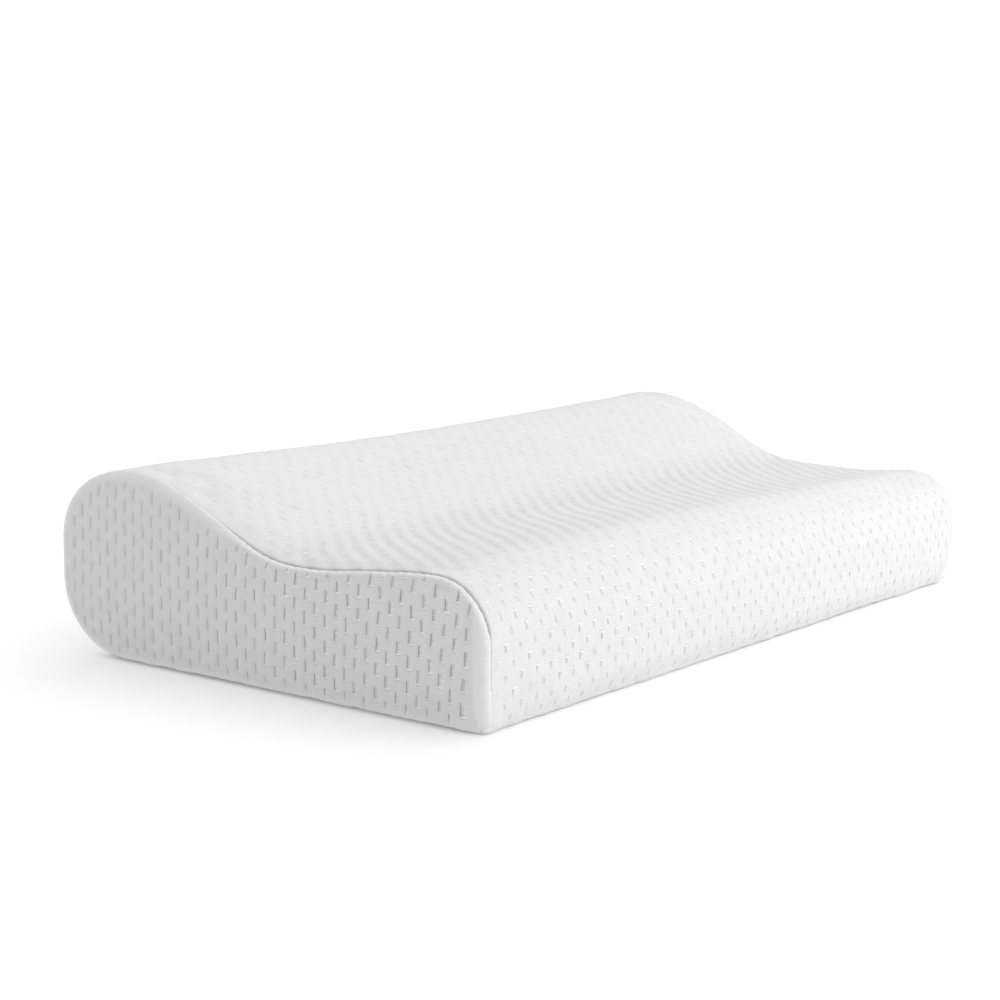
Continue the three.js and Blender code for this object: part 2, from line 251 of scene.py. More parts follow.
def end_heights(inset, y):
    """The section's lower and upper height at places from front to back."""
    curves = section_curves(inset)
    top = on_curves(curves, np.linspace(*TOP_CURVES, 801))
    bottom = on_curves(curves, np.linspace(*BOTTOM_CURVES, 801))
    return np.interp(y, bottom[:, 0], bottom[:, 1]), np.interp(y, top[::-1, 0], top[::-1, 1])


CREST_S = distance_round(BACK_CREST_Y, BACK_HEIGHT)
SLOPE_S = distance_round(40 * MM, 88 * MM)
LOBE_S = distance_round(-92 * MM, FRONT_HEIGHT)
RISE_S = distance_round(-60 * MM, FRONT_HEIGHT - 5 * MM)
BROW_S = distance_round(-128 * MM, FRONT_HEIGHT - 3 * MM)
FRONT_S = distance_round(-BACK_Y, 35 * MM)
TOE_S = distance_round(-BACK_Y + TOE[0], 0)
UNDER_END_S = distance_round(UNDERSIDE_BACK_Y, 0)


# ---- how the filled cover gives
PRESSED_CLOTH = {
    "quality": 5, "mass": 0.3, "tension_stiffness": 15, "bending_stiffness": 0.5, "use_pressure": True,
    "uniform_pressure_force": 4, "vertex_group_mass": "held", "pin_stiffness": 1,
}
LOOSELY_HELD = 0.12


def inflate(points, closed, held):
    """Cloth-simulates a grid of points under pressure from inside, and returns how far each moved.
    closed joins the last column to the first, and held is each point's pull back to its place."""
    ids = numbered(*points.shape[:2])
    faces = grid_faces(ids)
    if closed:
        faces = np.concatenate([faces, grid_faces(ids[:, [-1, 0]])])
    cage = make_object("pressed_cage", points, [faces])
    group = cage.vertex_groups.new(name="held")
    for index, weight in enumerate(held.ravel()):
        group.add([index], float(weight), "REPLACE")
    cloth = cage.modifiers.new("cloth", "CLOTH")
    for setting, value in PRESSED_CLOTH.items():
        setattr(cloth.settings, setting, value)
    cloth.settings.effector_weights.gravity = 0
    cloth.collision_settings.use_collision = False
    last_frame = 20
    cloth.point_cache.frame_start = 1
    cloth.point_cache.frame_end = last_frame
    for number in range(1, last_frame + 1):
        bpy.context.scene.frame_set(number)
    pressed = cage.evaluated_get(bpy.context.evaluated_depsgraph_get())
    moved = vertices_of(pressed.data).reshape(points.shape)
    bpy.context.scene.frame_set(1)
    bpy.data.objects.remove(cage)
    return moved - points


def simulated_wrap_give():
    """How far pressure swells the wrap between its end seams, over (x, distance round)."""
    x = np.linspace(-COVER_EDGE_X, COVER_EDGE_X, 49)
    s = np.linspace(0, GIRTH, 89)
    X, S = grid(x, s[:-1])
    y, z = outline_at(S)
    held = np.full(X.shape, LOOSELY_HELD)
    held[:, z[0] < 1 * MM] = 1
    held[[0, -1], :] = 1
    moved = inflate(points_at(X, y, z), True, held)
    out_y, out_z = normals_at(S)
    give = np.clip(moved[..., 1] * out_y + moved[..., 2] * out_z, -WRAP_GIVE_LIMIT, WRAP_GIVE_LIMIT)
    return np.concatenate([give, give[:, :1]], axis=1)


def simulated_end_give():
    """How far pressure swells an end panel, over (front to back, bottom to top)."""
    inset = 6 * MM
    y = np.linspace(-BACK_Y + inset, BACK_Y - inset, 61)
    low, high = end_heights(inset, y)
    Z = low[:, None] + (high - low)[:, None] * np.linspace(0, 1, 25)[None, :]
    points = points_at(-END_FACE_X, y[:, None], Z)
    held = np.full(Z.shape, LOOSELY_HELD)
    held[[0, -1], :] = 1
    held[:, [0, -1]] = 1
    moved = inflate(points, False, held)
    return np.clip(-moved[..., 0], 0, END_GIVE_LIMIT)


def wrap_give(x, s):
    """How far the filled cover strays from a straight extrusion, along the surface's normal."""
    t = x / COVER_EDGE_X
    far = smoothstep(-0.4, 1, t)
    sag = -RIDGE_SAG * (1 - t * t) * hump(s - CREST_S, 60 * MM)
    sag = sag + FAR_SLOPE_RISE * far * hump(s - SLOPE_S, 60 * MM)
    sag = sag - FAR_LOBE_DROP * far * hump(s - LOBE_S, 40 * MM)
    plump = PLUMPNESS * (1 - np.exp(-(t + 1) * COVER_EDGE_X / (14 * MM))) * smoothstep(0.95, 0.1, t)
    on_top = smoothstep(FRONT_S, BROW_S - 10 * MM, s) * smoothstep(CREST_S - 40 * MM, CREST_S, s)
    ripple = 0.35 * MM * soft_noise(x, s, 46, 3) + 0.16 * MM * soft_noise(x, s, 17, 9)
    swell = lookup(WRAP_GIVE, (t + 1) / 2, s / GIRTH)
    resting = fade(-4, 6, s - TOE_S) * fade(6, -6, s - UNDER_END_S)
    return (swell + sag + plump * on_top + ripple * smoothstep(1, 0.93, np.abs(t))) * (1 - resting)


# ---- meshes
def numbered(*shape, start=0):
    """A grid of this shape that holds its points' numbers, row by row."""
    return start + np.arange(math.prod(shape)).reshape(shape)


def grid_faces(ids, flip=False):
    quads = np.stack([ids[:-1, :-1], ids[:-1, 1:], ids[1:, 1:], ids[1:, :-1]], -1).reshape(-1, 4)
    return quads[:, ::-1] if flip else quads


def loop_round(ids):
    """A grid's border: along the first row, down the last column, and back to where it starts."""
    return np.concatenate([ids[0, :-1], ids[:-1, -1], ids[-1, :0:-1], ids[::-1, 0]])


def make_object(name, points, faces, uv=None, patterned=None):
    mesh = bpy.data.meshes.new(name)
    points = np.asarray(points, np.float32).reshape(-1, 3)
    corners = np.concatenate([group.ravel() for group in faces]).astype(np.int32)
    sizes = np.concatenate([np.full(len(group), group.shape[1]) for group in faces])
    mesh.vertices.add(len(points))
    mesh.vertices.foreach_set("co", points.ravel())
    mesh.loops.add(len(corners))
    mesh.loops.foreach_set("vertex_index", corners)
    mesh.polygons.add(len(sizes))
    mesh.polygons.foreach_set("loop_start", (np.cumsum(sizes) - sizes).astype(np.int32))
    mesh.polygons.foreach_set("use_smooth", np.full(len(sizes), True))
    if uv is not None:
        layer = mesh.uv_layers.new(name="fabric")
        layer.data.foreach_set("uv", np.asarray(uv, np.float32).reshape(-1, 2)[corners].ravel())
    if patterned is not None:
        attribute = mesh.attributes.new("patterned", "FLOAT", "POINT")
        attribute.data.foreach_set("value", np.asarray(patterned, np.float32).ravel())
    mesh.update(calc_edges=True)
    mesh.validate()
    return add_piece(name, mesh)


def vertices_of(mesh):
    points = np.empty(len(mesh.vertices) * 3, np.float32)
    mesh.vertices.foreach_get("co", points)
    return points.reshape(-1, 3).astype(float)


def add_piece(name, mesh):
    piece = bpy.data.objects.new(name, mesh)
    bpy.context.scene.collection.objects.link(piece)
    return piece


def copy_of_node(name, node):
    """A bare copy of a CAD piece's mesh, as a new piece."""
    piece = add_piece(name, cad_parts[node].data.copy())
    piece.data.materials.clear()
    return piece


def sparse(count, step):
    return np.unique(np.append(np.arange(0, count - 1, step), count - 1))


def closed_sheet(name, outer, inner, cloth, flip=False, thinning=4, patterned=None):
    """A closed sheet of cloth between two grids of points; its hidden inner side is kept coarse.
    cloth gives the cloth's own two coordinates, which the UV map holds in tenths of a metre."""
    rows, columns = outer.shape[:2]
    kept = np.ix_(sparse(rows, thinning), sparse(columns, thinning))
    ids, inner = numbered(rows, columns), inner[kept]
    inner_ids = numbered(*inner.shape[:2], start=ids.size)
    outer_loop, inner_loop = loop_round(ids), loop_round(inner_ids)
    where = {corner: number for number, corner in enumerate(outer_loop[:-1])}
    matches = [where[corner] for corner in loop_round(ids[kept])[:-1]] + [len(outer_loop) - 1]
    rim = []
    for number, (start, stop) in enumerate(zip(matches, matches[1:])):
        near, far = inner_loop[number : number + 2]
        middle = (start + stop) // 2
        for j in range(start, stop):
            rim.append((outer_loop[j + 1], outer_loop[j], near if j < middle else far))
        rim.append((outer_loop[middle], near, far))
    rim = np.array(rim)
    faces = [grid_faces(ids, flip), grid_faces(inner_ids, not flip), rim[:, ::-1] if flip else rim]
    if patterned is not None:
        patterned = np.concatenate([patterned.ravel(), np.zeros(inner_ids.size)])
    points = np.concatenate([outer.reshape(-1, 3), inner.reshape(-1, 3)])
    uv = np.concatenate([cloth.reshape(-1, 2), cloth[kept].reshape(-1, 2)]) * 10
    return make_object(name, points, faces, uv, patterned=patterned)


def tubes(name, centres, radius, sides=6):
    """Many tubes as one mesh; centres is (tubes, points, 3), and each tube is thinner at both ends."""
    count, length = centres.shape[:2]
    along = np.gradient(centres, axis=1)
    along /= np.linalg.norm(along, axis=-1, keepdims=True)
    helper = np.where(np.abs(along[..., 2:]) < 0.8, [0.0, 0.0, 1.0], [1.0, 0.0, 0.0])
    across = np.cross(helper, along)
    across /= np.linalg.norm(across, axis=-1, keepdims=True)
    over = np.cross(along, across)
    turn = np.arange(sides) * 2 * math.pi / sides
    taper = np.ones(length)
    taper[[0, -1]] = 0.45
    ring = across[..., None, :] * np.cos(turn)[:, None] + over[..., None, :] * np.sin(turn)[:, None]
    points = centres[..., None, :] + ring * (radius * taper)[None, :, None, None]
    ids = numbered(count, length, sides)
    after = np.roll(ids, -1, axis=2)
    quads = np.stack([ids[:, :-1], after[:, :-1], after[:, 1:], ids[:, 1:]], -1).reshape(-1, 4)
    return make_object(name, points, [quads, ids[:, 0, ::-1], ids[:, -1]])


# ---- knit relief
def knit_lines(low, high, pitch, offsets):
    """Grid lines that follow the pattern: at each repeat, one line at each offset in millimetres."""
    first, last = math.floor(low / pitch) - 1, math.ceil(high / pitch) + 1
    lines = (np.arange(first, last)[:, None] * pitch + np.array(offsets)[None, :] * MM).ravel()
    return np.sort(lines[(lines > low) & (lines < high)])


def knit_relief(cloth, knit, openness, hollowness):
    """Height of the knit at cloth coordinates: sunken slits in soft hollows, beside raised ladders.
    openness is how far the slits are drawn open, and hollowness how deep the hollows are."""
    u, v = cloth[..., 0], cloth[..., 1]
    column = np.round(u / knit["pitch"])
    shift = np.mod(column, 2) * 0.5
    row = np.round(v / knit["period"] - shift)
    across = (u - column * knit["pitch"]) * knit["side"]
    along = np.abs(v - (row + shift) * knit["period"])
    half = knit["slit"] / 2
    strength = knit["evenness"] + (1 - knit["evenness"]) * unit_noise(column, row, 0)
    window = fade(0.5, -0.3, along - half)
    groove = hump(across, 0.42 * MM) * window * strength
    ladder = fade(0.1, 0.7, across) * fade(2.5, 1.6, across) * window
    hollow = hump(across, 1.5 * MM) * hump(along, half + 1.4 * MM) * (1.4 * strength - 0.2)
    return ((knit["ladder"] * ladder - knit["groove"] * groove) * openness - hollowness * hollow) * MM


def uneven_cloth(u, v):
    """Cloth coordinates with the small unevenness of a soft knit."""
    across = 0.4 * soft_noise(u, v, 6, 81) + 0.5 * soft_noise(u, v, 17, 83)
    along = 0.6 * soft_noise(u, v, 8, 82) + 0.6 * soft_noise(u, v, 23, 84)
    return points_at(u + across * MM, v + along * MM)


# ---- cover and liner panels
def on_low_top(y, z):
    """1 along the top of the trough and front lobe, 0 round the ridge, the front and the underside."""
    return fade(42, 54, z) * fade(36, 4, y)


def on_stretched(s):
    """1 on the front, the underside and the back, where the slits are drawn open, and 0 on the top."""
    front = smoothstep(BROW_S - 12 * MM, FRONT_S - 10 * MM, s)
    return np.maximum(front, smoothstep(CREST_S - 25 * MM, CREST_S - 60 * MM, s))


def pulled_in(x, y, z):
    """How far the cover's lower front corners are pulled in, and the far end's whole front edge."""
    far = fade(-50, -125, y) * (2.5 + 8 * fade(32, 2, z)) * MM
    near = fade(-128, -147, y) * 5 * MM * fade(20, 1, z)
    return np.where(x > 0, far, near)


def beneath(y, z):
    """1 on the underside, and 0 from a few millimetres up and at the front."""
    return fade(7, 0.5, z) * fade(-146, -122, y)


def seam_pucker(side, s):
    """How far an end seam is drawn in and out along its way round the section."""
    shown = 0.25 + 0.75 * on_low_top(*outline_at(np.mod(s, GIRTH)))
    drawn = 0.16 * np.cos(2 * math.pi * s / (5.6 * MM)) + 0.35 * soft_noise(s, side * 5, 21, 4)
    return drawn * shown * MM


def zip_opening(x):
    """Half the gap between the wrap's two edges: open at the zip, closed by hand stitches beyond."""
    closing = fade(0, 5, np.abs(x) - ZIP_HALF_LENGTH)
    return ZIP_HALF_GAP + (0.3 * MM - ZIP_HALF_GAP) * closing


def zip_room(x):
    """How far the liner's back is set in, to leave room for the slider."""
    return ZIP_ROOM * fade(22, 6, np.abs(x) - ZIP_HALF_LENGTH)


def slack_hollows(cloth, s, knit):
    """The soft diagonal hollows of the unstretched top, which lie along the knit's lattice."""
    width = 0.25 + 0.75 * fade(74, 34, np.abs(s - RISE_S))
    turns = cloth[..., 0] / (2 * knit["pitch"]) + cloth[..., 1] / knit["period"]
    line = 0.5 + 0.5 * np.cos(2 * math.pi * turns)
    return SLACK_HOLLOW * line * width * (1 - on_stretched(s))


def wrap_sheet(name, u, v, inset, edge_x, roll, thickness, knit=None):
    """The long panel over the top, front, underside and back; u runs across and v round it."""
    U, V = grid(u, v)
    straight_x = edge_x - roll
    gap = zip_opening(U) if knit else 0.2 * MM
    S = V + gap * (fade(0, 24, GIRTH - V) - fade(0, 24, V))
    edge_distance = np.minimum(V, GIRTH - V)
    lost = 1 - np.clip(edge_distance / FOLD_RADIUS, 0, 1)
    tuck = FOLD_RADIUS * (1 - np.sqrt(1 - lost**2))

    over = np.maximum(np.abs(U) - straight_x, 0)
    angle = np.clip(over / roll, 0, math.pi / 2)
    turned_in = np.maximum(over - roll * math.pi / 2, 0)
    hidden = (1 - on_low_top(*outline_at(np.clip(S, 0, GIRTH)))) * bool(knit)
    reach = roll * np.sin(angle) + SEAM_OVERLAP * hidden * smoothstep(0, 0.7 * roll, over)
    X = np.sign(U) * (np.minimum(np.abs(U), straight_x) + reach)
    sunk = roll * (1 - np.cos(angle)) * (1 - 0.8 * hidden) + turned_in
    inside = fade(0, 30, straight_x - np.abs(U))
    cloth = uneven_cloth(U, V)
    if knit:
        lean = 0.07 * (S - FRONT_S) * hump(S - FRONT_S, 60 * MM)
        X = X + inside * (lean + 0.35 * MM * soft_noise(U, V, 38, 21))
        S = S + inside * 0.5 * MM * soft_noise(U, V, 33, 22) * fade(0, 20, edge_distance)
    S = np.clip(S, 0, GIRTH)
    y, z = outline_at(S)
    out_y, out_z = normals_at(S)

    to_seam = np.maximum(edge_x - np.abs(X), 0)
    pucker = seam_pucker(np.sign(X), S) * np.exp(-to_seam / (3.5 * MM)) * (z >= 1 * MM)
    give = wrap_give(X, S)
    patterned = None
    if knit:
        patterned = fade(1.5, 8, to_seam) * fade(2, 6, edge_distance)
        relief = knit_relief(cloth, knit, 0.15 + 0.85 * on_stretched(V), 0.16) - slack_hollows(cloth, V, knit)
        lower_front = hump(S - TOE_S + 5 * MM, 6 * MM) * fade(0, 10, to_seam)
        wander = 0.45 * soft_noise(U, V, 9, 61) + 0.35 * soft_noise(U, V, 31, 62)
        texture = (relief - 0.2 * MM) * patterned + lower_front * wander * MM
        tucked = UNDER_TUCK * beneath(y, z) + pulled_in(X, y, z)
        X = X - np.sign(X) * tucked * fade(25, 0, to_seam)
    else:
        give = np.minimum(give, 0)
        texture = 0
        inset = inset + zip_room(X) * np.maximum(out_y, 0) ** 2
    lift = give - inset - sunk + pucker - tuck + texture
    outer = points_at(X, y + out_y * lift, z + out_z * lift)
    outer[..., 2] = np.maximum(outer[..., 2], inset)
    depth = give - inset - thickness - np.maximum(sunk - thickness, 0) - np.minimum(tuck, thickness)
    inner_x = X - np.sign(X) * thickness * np.sin(angle)
    inner = points_at(inner_x, y + out_y * depth, z + out_z * depth)
    return closed_sheet(name, outer, inner, cloth, patterned=patterned)


def cover_wrap():
    edge_x = COVER_EDGE_X - 0.3 * MM
    straight_x = edge_x - WRAP_ROLL
    columns = knit_lines(-straight_x, straight_x, WRAP_KNIT["pitch"], [-0.45, 0.1, 0.8, 2.3])
    turn = WRAP_ROLL * np.linspace(0, math.pi / 2, 7)
    beyond_x = straight_x + np.append(turn, turn[-1] + SEAM_TUCK)
    u = np.concatenate([-beyond_x[::-1], columns, beyond_x])
    half_slit, half_period = WRAP_KNIT["slit"] / MM / 2, WRAP_KNIT["period"] / MM / 2
    within, beyond = half_slit - 0.3, half_slit + 0.5
    marks = [within, beyond, half_period - beyond, half_period - within]
    marks = marks + [half_period + mark for mark in marks]
    fold = np.array([0, 0.12, 0.45, 1.0, 1.7, 2.6]) * MM
    seen = knit_lines(fold[-1] + 1 * MM, TOE_S + 14 * MM, WRAP_KNIT["period"], marks)
    under = np.linspace(TOE_S + 16 * MM, UNDER_END_S - 6 * MM, 26)
    behind = knit_lines(UNDER_END_S, GIRTH - fold[-1] - 1 * MM, WRAP_KNIT["period"], marks)
    v = np.concatenate([fold, seen, under, behind, GIRTH - fold[::-1]])
    return wrap_sheet("cover_wrap", u, v, 0, edge_x, WRAP_ROLL, COVER_THICKNESS, WRAP_KNIT)


def liner_wrap():
    roll = 1.2 * MM
    edge_x = LINER_EDGE_X - 0.4 * MM
    straight_x = edge_x - roll
    beyond_x = straight_x + roll * np.linspace(0, math.pi / 2, 5)
    u = np.concatenate([-beyond_x[::-1], np.linspace(-straight_x, straight_x, 121)[1:-1], beyond_x])
    v = np.linspace(0, GIRTH, 301)
    return wrap_sheet("inner_liner_wrap", u, v, LINER_INSET + 0.2 * MM, edge_x, roll, LINER_THICKNESS)


RIM_LINES = np.array([0, 0.03, 0.12, 0.35, 0.8, 1.5, 2.5, 3.8, 5.4, 7.2]) * MM


def end_grid(inset, columns, rows, knit):
    """An end panel's grid lines from front to back, the places (y, z) on them and each line's heights.
    columns are the lines between the two rims, and rows how many places lie between the rims on each."""
    left, right = -BACK_Y + inset, BACK_Y - inset
    p = np.concatenate([left + RIM_LINES, columns, (right - RIM_LINES)[::-1]])
    leaning = 0.075 * fade(-20, -100, p) * fade(0, 14, p - left) if knit else 0 * p
    half_height = 36 * MM
    y_top, y_low = p - leaning * half_height, p + leaning * half_height
    z_low = end_heights(inset, y_low)[0][:, None]
    height = end_heights(inset, y_top)[1][:, None] - z_low
    low_rows = np.repeat(RIM_LINES[None, :], len(p), 0)
    steps = (np.arange(1, rows + 1) / (rows + 1))[None, :]
    middle = RIM_LINES[-1] + (height - 2 * RIM_LINES[-1]) * steps
    up = np.concatenate([low_rows, middle, height - low_rows[:, ::-1]], axis=1)
    Y = y_low[:, None] + (y_top - y_low)[:, None] * up / height
    return p, Y, z_low + up, z_low, height


def nearest_on_outline(inset, Y, Z):
    """Each point's distance to the inset outline, the direction inwards from the nearest place on it,
    and how far round the section that place is."""
    places = np.linspace(0, len(OUTLINE), 1001)
    line = on_curves(section_curves(inset), places)
    distance = np.full(Y.shape, 1.0)
    inwards = np.zeros(Y.shape + (2,))
    around = np.zeros(Y.shape)
    for a, b, s in zip(line[:-1], line[1:], np.interp(places, FINE_PLACES, FINE_ALONG)):
        step = b - a
        length = float(step @ step)
        if length < 1e-14:
            continue
        t = np.clip(((Y - a[0]) * step[0] + (Z - a[1]) * step[1]) / length, 0, 1)
        away = np.hypot(Y - a[0] - t * step[0], Z - a[1] - t * step[1])
        closer = away < distance
        distance = np.where(closer, away, distance)
        inwards[closer] = np.array([-step[1], step[0]]) / math.sqrt(length)
        around[closer] = s
    return distance, inwards, around


def off_the_floor(y, z, inset):
    """How far an end panel's lower edge stands off the floor between its corners."""
    height = 0.45 + 0.25 * soft_noise(y, 0 * y, 11, 71) + 0.2 * soft_noise(y, 0 * y, 3, 72)
    between_corners = fade(6, 24, y + BACK_Y - inset) * fade(20, 40, BACK_Y - inset - y)
    return np.maximum(height, 0) * MM * between_corners * fade(9, 1, z)


def end_sheet(name, side, columns, rows, inset, rim_x, face_x, thickness, knit=None):
    """A wave-shaped end panel that rolls back to its seam; side is -1 for the left, 1 for the right."""
    p, Y, Z, z_low, height = end_grid(inset, columns, rows, knit)
    cloth = uneven_cloth(np.repeat(p[:, None], Z.shape[1], 1), Z)
    distance, inwards, around = nearest_on_outline(inset, Y, Z)
    low_top = on_low_top(Y, Z)
    under = beneath(Y, Z) * bool(knit)
    tight = np.maximum(low_top, fade(-132, -146, Y))
    k = np.clip(1 - distance / (END_ROLL * (1 - 0.5 * tight)), 0, 1)
    boxiness = 2.3 + 2.0 * under
    crown = (face_x - rim_x + UNDER_TUCK * under) * (1 - k**boxiness) ** (1 / boxiness) - UNDER_TUCK * under
    swell = lookup(END_GIVE, (Y + BACK_Y) / DEPTH, (Z - z_low) / height) * (0.65 - 0.35 * side)
    swell = swell + 0.5 * MM * fade(6, 38, distance)
    swell = swell + 0.3 * MM * soft_noise(Y, Z, 30, 31 + side) * fade(4, 14, distance)
    X = rim_x + crown + swell * fade(0, 14, distance)
    follow = wrap_give(np.full(Y.shape, side * COVER_EDGE_X), around)
    patterned = None
    if knit:
        rim_width = (2.0 + 5.5 * (1 - low_top)) * MM
        off_the_front = fade(5.5, 9.5, Y + BACK_Y - inset)
        patterned = smoothstep(0.3 * rim_width, rim_width, distance) * off_the_front
        X = X - pulled_in(side, Y, Z) + (knit_relief(cloth, knit, 1.0, 0.3) - 0.1 * MM) * patterned
        X = X - 0.42 * MM * (1 - low_top) * fade(2.5, 0, distance)
        Z = Z + off_the_floor(Y, Z, inset)
        follow = follow + seam_pucker(side, around)
        flush = 0.62 * MM * (1 - low_top) * fade(5, 0, distance)
    else:
        follow = np.minimum(follow, 0)
        flush = 0
    outer = points_at(side * X, Y, Z)
    inner = points_at(side * (X - thickness * fade(0, 2, distance)), Y, Z)
    outwards = (flush + follow * fade(16, 0, distance)) * (1 - under)
    for layer in (outer, inner):
        layer[..., 1:] -= inwards * outwards[..., None]
        for border in (np.s_[0, :], np.s_[-1, :], np.s_[:, 0], np.s_[:, -1]):
            layer[border][..., 1:] += inwards[border] * SEAM_TUCK * (1 if knit else 0.4)
    inner[..., 1:] += inwards * (thickness * 0.8 * (1 - fade(0, 5, distance)))[..., None]
    return closed_sheet(name, outer, inner, cloth, side > 0, patterned=patterned)


def cover_end(name, side):
    inset = WRAP_ROLL * 0.8
    edge = BACK_Y - inset - 7.8 * MM
    columns = knit_lines(-edge, edge, END_KNIT["pitch"], [-2.2, -1.5, -0.75, -0.3, 0.1, 0.6, 3.2])
    rim_x = COVER_EDGE_X + 0.27 * MM
    return end_sheet(name, side, columns, 100, inset, rim_x, END_FACE_X, COVER_THICKNESS, END_KNIT)


def liner_end(name, side):
    edge = BACK_Y - 14 * MM
    columns = np.linspace(-edge, edge, 90)
    rim_x = LINER_EDGE_X + 0.3 * MM
    return end_sheet(name, side, columns, 40, LINER_INSET + 0.9 * MM, rim_x, LINER_END_X, LINER_THICKNESS)


def foam_core():
    """The moulded foam block, rounded by remeshing, and set in wherever the cover is drawn in."""
    piece = copy_of_node("moulded_foam", "foam_core")
    remesh = piece.modifiers.new("remesh", "REMESH")
    remesh.mode = "VOXEL"
    remesh.voxel_size = 5 * MM
    settle = piece.modifiers.new("settle", "SMOOTH")
    settle.iterations = 3
    evaluated = piece.evaluated_get(bpy.context.evaluated_depsgraph_get())
    mesh = bpy.data.meshes.new_from_object(evaluated)
    piece.modifiers.clear()
    piece.data = mesh
    points = vertices_of(mesh)
    nearest = np.array([np.argmin(((FINE_POINTS[::5] - yz) ** 2).sum(1)) * 5 for yz in points[:, 1:]])
    s = FINE_ALONG[nearest]
    close = np.linalg.norm(FINE_POINTS[nearest] - points[:, 1:], axis=1)
    drawn_in = np.minimum(wrap_give(points[:, 0], s), 0) * fade(40, 8, close)
    points[:, 1:] += (normals_at(s) * drawn_in).T
    mesh.vertices.foreach_set("co", points.astype(np.float32).ravel())
    mesh.polygons.foreach_set("use_smooth", np.ones(len(mesh.polygons), bool))
    return piece


# ---- stitches
def stitches(name, middles, along, out, length, radius, dip):
    """Short threads that arch out of the cloth and dive back in at both ends; sizes in millimetres."""
    t = np.array([-0.5, -0.36, -0.15, 0.15, 0.36, 0.5])
    along, out = (np.broadcast_to(way, middles.shape)[:, None, :] for way in (along, out))
    reach = middles[:, None, :] + along * (t * length * MM)[None, :, None]
    sink = (np.abs(t) * 2) ** 3 * dip * MM
    return tubes(name, reach - out * sink[None, :, None], radius * MM)


def back_stitches(name, x, y, z, along, length, radius, dip):
    """A row of stitches that face straight back."""
    return stitches(name, points_at(x, y, z), along, (0, 1, 0), length, radius, dip)


def seam_stitches(name, side, x, inset, spacing, length):
    """A round of stitches down in an end seam."""
    count = int(GIRTH / (spacing * MM))
    s = (np.arange(count) + 0.5) * GIRTH / count
    out_y, out_z = normals_at(s)
    y, z = outline_at(s) + normals_at(s) * (np.minimum(wrap_give(side * x + 0 * s, s), 0) - inset)
    along, out = points_at(0, out_z, -out_y), points_at(0, out_y, out_z)
    return stitches(name, points_at(side * x, y, z), along, out, length, 0.2, 0.3)


def topstitch(name, side):
    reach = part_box("zip_topstitch_upper")[1].x
    spacing = 3.0 * MM
    x = np.arange(-reach + spacing / 2, reach, spacing)
    s = np.full(x.shape, np.mod(side * TOPSTITCH_OFFSET, GIRTH))
    y = BACK_Y + wrap_give(x, s) + 0.04 * MM
    return back_stitches(name, x, y, ZIP_Z + side * TOPSTITCH_OFFSET, (1, 0, 0), 2.4, 0.27, 0.55)


def bartack(name, side):
    """A dense bar of threads across the end of the zip."""
    x = side * (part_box("zip_bartack_right")[0].x + 1 * MM)
    half_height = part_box("zip_bartack_left")[1].z - ZIP_Z
    z = ZIP_Z + np.linspace(-half_height, half_height, 26)
    return back_stitches(name, x, BACK_Y + 0.25 * MM, z, (1, 0, 0.12), 2.2, 0.26, 0.8)


def closing_stitches(name, side):
    """The hand-sewn seam between the zip's end and the end seam."""
    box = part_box("cover_closing_thread_right")
    x = np.arange(box[0].x, box[1].x, 2.2 * MM) * side
    return back_stitches(name, x, BACK_Y - 0.5 * MM, ZIP_Z, (0.45, 0, 1), 1.7, 0.2, 0.7)


def liner_closing_stitches():
    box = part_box("liner_closing_seam_thread")
    x = np.arange(box[0].x, box[1].x, 3.0 * MM)
    y = BACK_Y - LINER_INSET - 0.05 * MM - zip_room(x)
    return back_stitches("inner_liner_closing_stitches", x, y, ZIP_Z, (1, 0, 0.3), 2.4, 0.2, 0.3)


# ---- zip and label
def zip_tape(name, side):
    """One woven tape: its bead lies under the coil and its far edge is hidden in the cover."""
    low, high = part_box("zip_tape_upper" if side > 0 else "zip_tape_lower")
    near, far = (low.z, high.z) if side > 0 else (high.z, low.z)
    X, T = grid(np.linspace(low.x, high.x, 221), np.linspace(0, 1, 23))
    Z = near + (far - near) * T
    wander = 0.12 * MM * soft_noise(X, Z, 15, 51 + side)
    cord_edge = 0.25 * MM * hump(T - 0.42, 0.05)
    outer = points_at(X, high.y + wander - 0.25 * MM + cord_edge, Z)
    return closed_sheet(name, outer, points_at(X, low.y, Z), points_at(X, Z), side < 0, thinning=3)


def zip_coil(name, side):
    """A row of nylon coil: one filament wound in flattened turns whose heads pass the middle line."""
    low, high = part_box("zip_coil_upper")
    turns = int((high.x - low.x) / COIL_PITCH)
    per_turn = 9
    angle = np.arange(turns * per_turn + 1) * 2 * math.pi / per_turn
    wire = 0.31 * MM
    head = ZIP_Z - 0.28 * MM * side
    heel = ZIP_Z + (high.z - ZIP_Z - wire) * side
    phase = 0 if side > 0 else COIL_PITCH / 2
    x = low.x + wire + phase + COIL_PITCH * (angle / (2 * math.pi) + 0.1 * np.sin(2 * angle))
    x = np.minimum(x, high.x - wire)
    y = (low.y + high.y) / 2 + ((high.y - low.y) / 2 - wire) * np.sin(angle)
    z = (head + heel) / 2 - (heel - head) / 2 * np.cos(angle)
    return tubes(name, points_at(x, y, z)[None], wire, sides=5)


